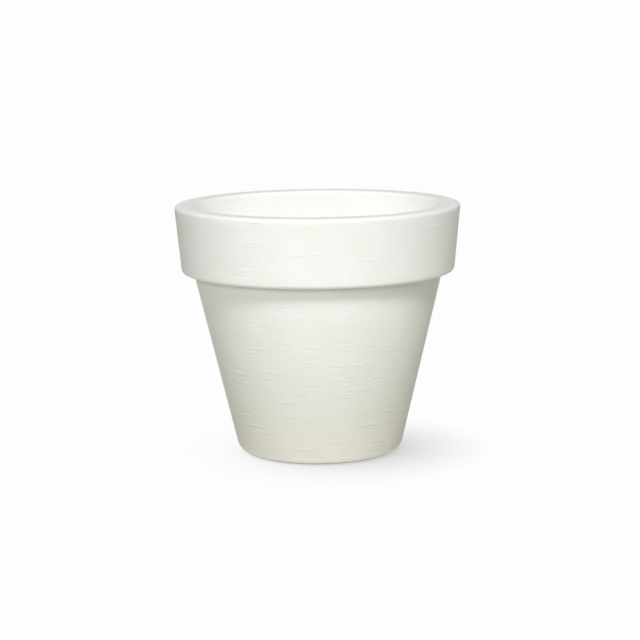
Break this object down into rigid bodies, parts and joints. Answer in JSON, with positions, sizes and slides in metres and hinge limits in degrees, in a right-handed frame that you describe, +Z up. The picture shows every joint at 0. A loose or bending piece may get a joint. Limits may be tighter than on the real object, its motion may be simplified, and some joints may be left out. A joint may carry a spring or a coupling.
{
  "type": "round planter",
  "caption": "Round tapered plastic planter with a deep hollow collar, drain holes closed by pull-out plugs and a lift-out drainage grate above the floor.",
  "frame": {"origin": "centre of the pot's axis at the ground, under the foot ring", "axes": "+Z up along the pot's axis, out of its mouth"},
  "size_m": [0.2992, 0.2992, 0.263],
  "materials": {
    "pot_plastic": "off-white moulded polyethylene, satin, with fine horizontal brush marks",
    "grate_plastic": "dark grey moulded polypropylene, matt",
    "plug_rubber": "black moulded rubber, matt"
  },
  "bodies": {
    "pot": {"pot_shell": "pot_plastic"},
    "grate": {"drainage_grate": "grate_plastic"},
    "plug_1": {"drain_plug_1": "plug_rubber"},
    "plug_2": {"drain_plug_2": "plug_rubber"},
    "plug_3": {"drain_plug_3": "plug_rubber"},
    "plug_4": {"drain_plug_4": "plug_rubber"}
  },
  "joints": [
    {"name": "grate_lift", "type": "slide", "parent": "pot", "child": "grate", "axis": [0, 0, 1], "range_m": [0, 0.25]},
    {"name": "plug_1_pull", "type": "slide", "parent": "pot", "child": "plug_1", "axis": [0, 0, 1], "range_m": [0, 0.012]},
    {"name": "plug_2_pull", "type": "slide", "parent": "pot", "child": "plug_2", "axis": [0, 0, 1], "range_m": [0, 0.012]},
    {"name": "plug_3_pull", "type": "slide", "parent": "pot", "child": "plug_3", "axis": [0, 0, 1], "range_m": [0, 0.012]},
    {"name": "plug_4_pull", "type": "slide", "parent": "pot", "child": "plug_4", "axis": [0, 0, 1], "range_m": [0, 0.012]}
  ]
}
